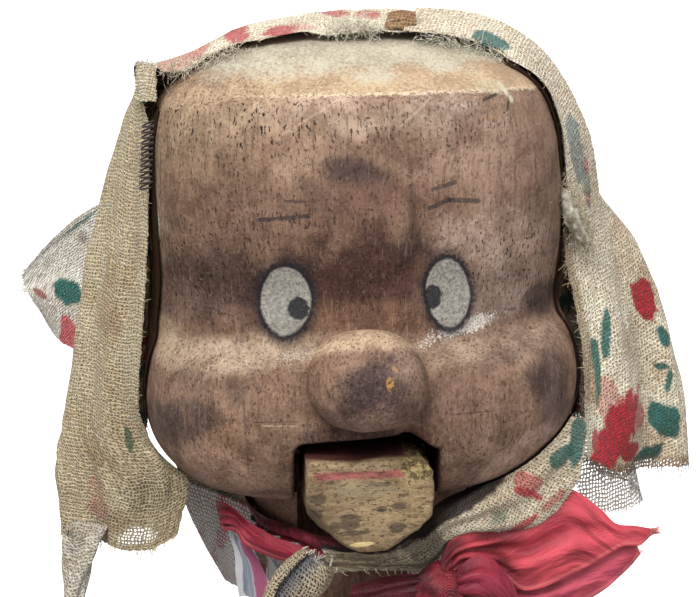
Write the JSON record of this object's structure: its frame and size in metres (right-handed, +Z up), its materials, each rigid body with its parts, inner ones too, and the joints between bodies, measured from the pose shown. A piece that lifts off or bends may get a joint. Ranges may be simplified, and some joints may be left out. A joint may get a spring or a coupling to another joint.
{
  "type": "wooden hand puppet",
  "caption": "Glove puppet with a carved wooden head, a spring-returned jaw, a knotted headscarf, a satin bow and a cotton body with swinging sleeves and wooden hands.",
  "frame": {"origin": "centre of the finger bore's mouth, at the foot of the neck", "axes": "+Z up through the neck and head, the face looks along -Y, +X is the viewer's right"},
  "size_m": [0.2038, 0.1398, 0.3774],
  "materials": {
    "head_wood": "dark aged wood, waxed and scratched",
    "jaw_wood": "yellow-brown wood with paint traces",
    "neck_wood": "light brown turned wood",
    "hand_wood": "carved wood",
    "steel": "dulled steel",
    "brass_tack": "dulled brass",
    "scarf_cloth": "coarse open printed cloth",
    "ribbon_satin": "satin ribbon",
    "dress_cotton": "printed cotton",
    "trim_cotton": "plain cotton trim"
  },
  "bodies": {
    "root": {"head": "head_wood", "nose": "head_wood", "neck": "neck_wood", "nose_dowel": "neck_wood", "neck_pegs": "neck_wood", "jaw_pin": "steel", "spring_anchor_pin": "steel", "collar_tacks": "brass_tack", "scarf_hood": "scarf_cloth", "scarf_right_drape": "scarf_cloth", "scarf_under_layer": "scarf_cloth", "scarf_left_fall": "scarf_cloth", "scarf_back_fall": "scarf_cloth", "scarf_back_corner": "scarf_cloth", "scarf_twist": "scarf_cloth", "scarf_chin_band": "scarf_cloth", "scarf_chin_knot": "scarf_cloth", "ribbon_band": "ribbon_satin", "ribbon_knot": "ribbon_satin", "ribbon_right_loop": "ribbon_satin", "ribbon_right_tail": "ribbon_satin", "ribbon_left_loop": "ribbon_satin", "ribbon_hanging_tail": "ribbon_satin", "dress": "dress_cotton", "hem_band": "trim_cotton"},
    "jaw": {"jaw": "jaw_wood", "jaw_lever": "steel", "lever_screws": "steel", "jaw_spring": "steel"},
    "left_arm": {"left_sleeve": "dress_cotton", "left_cuff": "trim_cotton", "left_hand": "hand_wood"},
    "right_arm": {"right_sleeve": "dress_cotton", "right_cuff": "trim_cotton", "right_hand": "hand_wood"}
  },
  "joints": [
    {"name": "jaw_hinge", "type": "hinge", "parent": "root", "child": "jaw", "pos_m": [0, -0.012, 0.0575], "axis": [1, 0, 0], "range_deg": [-3.5, 10], "stiffness_Nm_per_rad": 0.115, "springref_deg": -1.6, "deforming": ["jaw_spring"]},
    {"name": "left_shoulder", "type": "hinge", "parent": "root", "child": "left_arm", "pos_m": [-0.053, 0, -0.017], "axis": [0, 1, 0], "range_deg": [0, 75]},
    {"name": "right_shoulder", "type": "hinge", "parent": "root", "child": "right_arm", "pos_m": [0.053, 0, -0.017], "axis": [0, -1, 0], "range_deg": [0, 75]}
  ]
}
